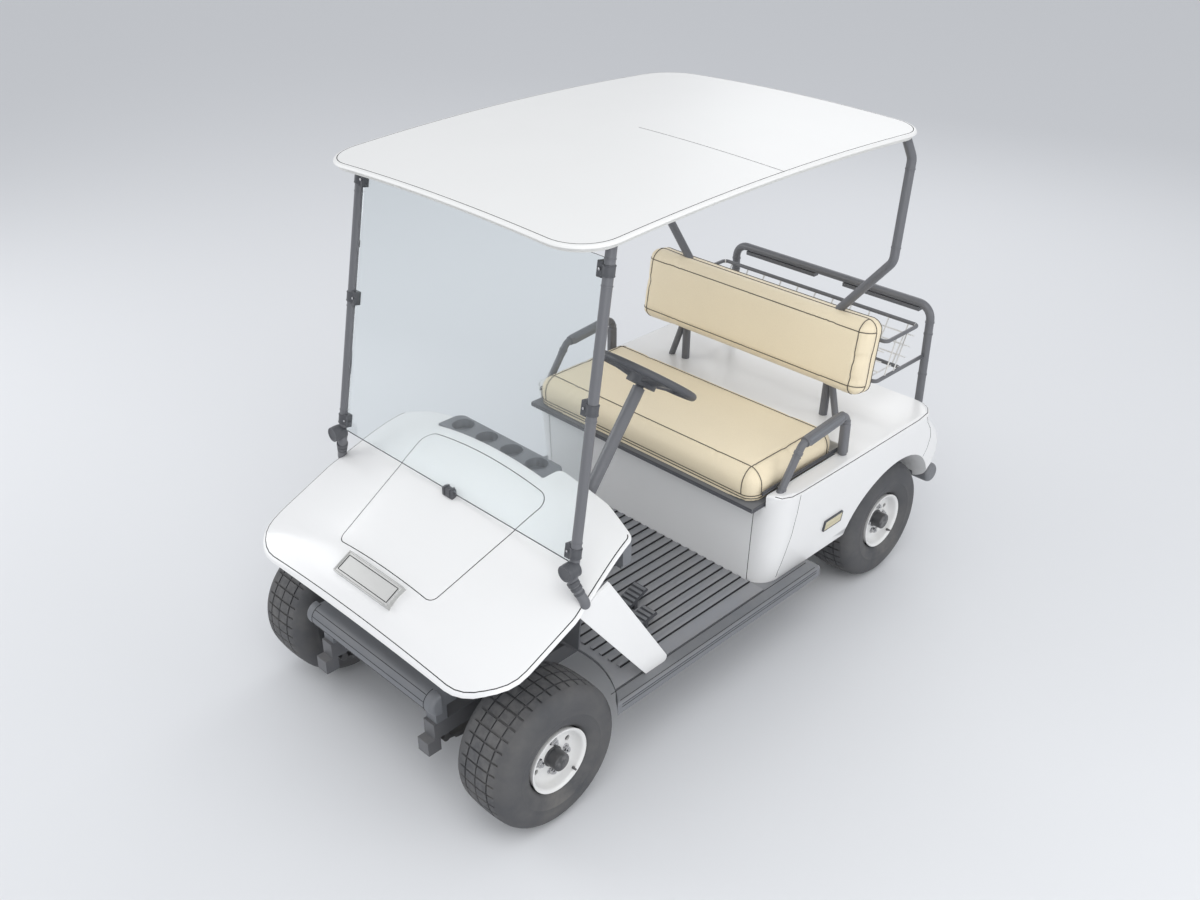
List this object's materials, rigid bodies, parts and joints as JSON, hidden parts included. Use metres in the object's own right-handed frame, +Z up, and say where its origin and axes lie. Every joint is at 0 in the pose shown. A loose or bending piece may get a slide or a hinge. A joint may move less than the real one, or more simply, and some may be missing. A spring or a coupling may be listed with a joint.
{
  "type": "golf cart",
  "caption": "Two-seat golf cart with a roof, windshield, steered front wheels, a bench seat that lifts over the battery bay, and a rear basket with a bag rack.",
  "frame": {"origin": "on the ground under the middle of the cart's bounding box", "axes": "+X to the cart's left, +Y to the rear, +Z up; the cart faces -Y"},
  "size_m": [1.194, 2.2919, 1.7229],
  "materials": {
    "body_white": "satin moulded",
    "roof_white": "satin moulded",
    "frame_steel": "satin powder coat",
    "floor_steel": "satin",
    "tube_grey": "satin powder coat",
    "spring_steel": "dark",
    "tyre": "moulded rubber",
    "wheel_white": "gloss enamel",
    "mat_rubber": "ribbed",
    "dark_plastic": "grained",
    "grey_plastic": "grained",
    "seat_vinyl": "coated fabric, soft",
    "windshield": "clear",
    "basket_wire": "plastic coated",
    "marker": "reflector",
    "nameplate": "satin, blank",
    "battery_case": "moulded",
    "axle_iron": "painted"
  },
  "bodies": {
    "chassis": {"frame_rails": "frame_steel", "front_axle_beam": "axle_iron", "steering_column": "tube_grey", "rear_axle": "axle_iron", "leaf_springs": "spring_steel", "battery_pack": "battery_case", "floor_pan": "floor_steel", "floor_mat": "mat_rubber", "rocker_panels": "grey_plastic", "front_wall": "grey_plastic", "kick_panels": "body_white", "front_cowl": "body_white", "nameplate": "nameplate", "dash_tray": "grey_plastic", "front_bumper": "grey_plastic", "rear_bumper": "grey_plastic", "rear_body": "body_white", "side_markers": "marker", "seat_hinges": "frame_steel", "hip_restraints": "tube_grey", "backrest_cushion": "seat_vinyl", "rear_struts": "tube_grey", "bag_shelf": "grey_plastic", "bag_frame": "tube_grey", "basket": "basket_wire", "front_struts": "tube_grey", "windshield": "windshield", "windshield_clamps": "dark_plastic", "roof": "roof_white", "pedals": "dark_plastic"},
    "seat_lid": {"seat_pan": "grey_plastic", "seat_cushion": "seat_vinyl"},
    "steering_wheel": {"steering_wheel": "dark_plastic"},
    "left_knuckle": {"knuckle_left": "axle_iron"},
    "right_knuckle": {"knuckle_right": "axle_iron"},
    "tie_rod": {"tie_rod": "spring_steel"},
    "pitman_arm": {"pitman_arm": "spring_steel"},
    "front_left_wheel": {"tyre_front_left": "tyre", "wheel_front_left": "wheel_white"},
    "front_right_wheel": {"tyre_front_right": "tyre", "wheel_front_right": "wheel_white"},
    "rear_left_wheel": {"tyre_rear_left": "tyre", "wheel_rear_left": "wheel_white"},
    "rear_right_wheel": {"tyre_rear_right": "tyre", "wheel_rear_right": "wheel_white"}
  },
  "joints": [
    {"name": "left_steer", "type": "hinge", "parent": "chassis", "child": "left_knuckle", "pos_m": [0.362, -0.89, 0.229], "axis": [0, 0, 1], "range_deg": [-25, 25]},
    {"name": "right_steer", "type": "hinge", "parent": "chassis", "child": "right_knuckle", "pos_m": [-0.362, -0.89, 0.229], "axis": [0, 0, 1], "range_deg": [-25, 25]},
    {"name": "tie_rod_joint", "type": "hinge", "parent": "left_knuckle", "child": "tie_rod", "pos_m": [0.362, -0.76, 0.151], "axis": [0, 0, 1], "range_deg": [-25, 25]},
    {"name": "pitman_turn", "type": "hinge", "parent": "chassis", "child": "pitman_arm", "pos_m": [0.19, -0.8, 0.25], "axis": [0, 0, 1], "range_deg": [-25, 25]},
    {"name": "steering_turn", "type": "hinge", "parent": "chassis", "child": "steering_wheel", "pos_m": [0.29, -0.252, 1.108], "axis": [0, 0.6088, 0.7934], "range_deg": [-400, 400]},
    {"name": "front_left_roll", "type": "hinge", "parent": "left_knuckle", "child": "front_left_wheel", "pos_m": [0.4875, -0.89, 0.229], "axis": [1, 0, 0], "continuous": true},
    {"name": "front_right_roll", "type": "hinge", "parent": "right_knuckle", "child": "front_right_wheel", "pos_m": [-0.4875, -0.89, 0.229], "axis": [1, 0, 0], "continuous": true},
    {"name": "rear_left_roll", "type": "hinge", "parent": "chassis", "child": "rear_left_wheel", "pos_m": [0.429, 0.786, 0.229], "axis": [1, 0, 0], "continuous": true},
    {"name": "rear_right_roll", "type": "hinge", "parent": "chassis", "child": "rear_right_wheel", "pos_m": [-0.429, 0.786, 0.229], "axis": [1, 0, 0], "continuous": true},
    {"name": "seat_lift", "type": "hinge", "parent": "chassis", "child": "seat_lid", "pos_m": [0, 0.488, 0.64], "axis": [-1, 0, 0], "range_deg": [0, 60]}
  ],
  "couplings": [
    {"joint": "right_steer", "follows": "left_steer", "ratio": 1},
    {"joint": "tie_rod_joint", "follows": "left_steer", "ratio": -1},
    {"joint": "pitman_turn", "follows": "left_steer", "ratio": 1},
    {"joint": "steering_turn", "follows": "left_steer", "ratio": 16}
  ]
}
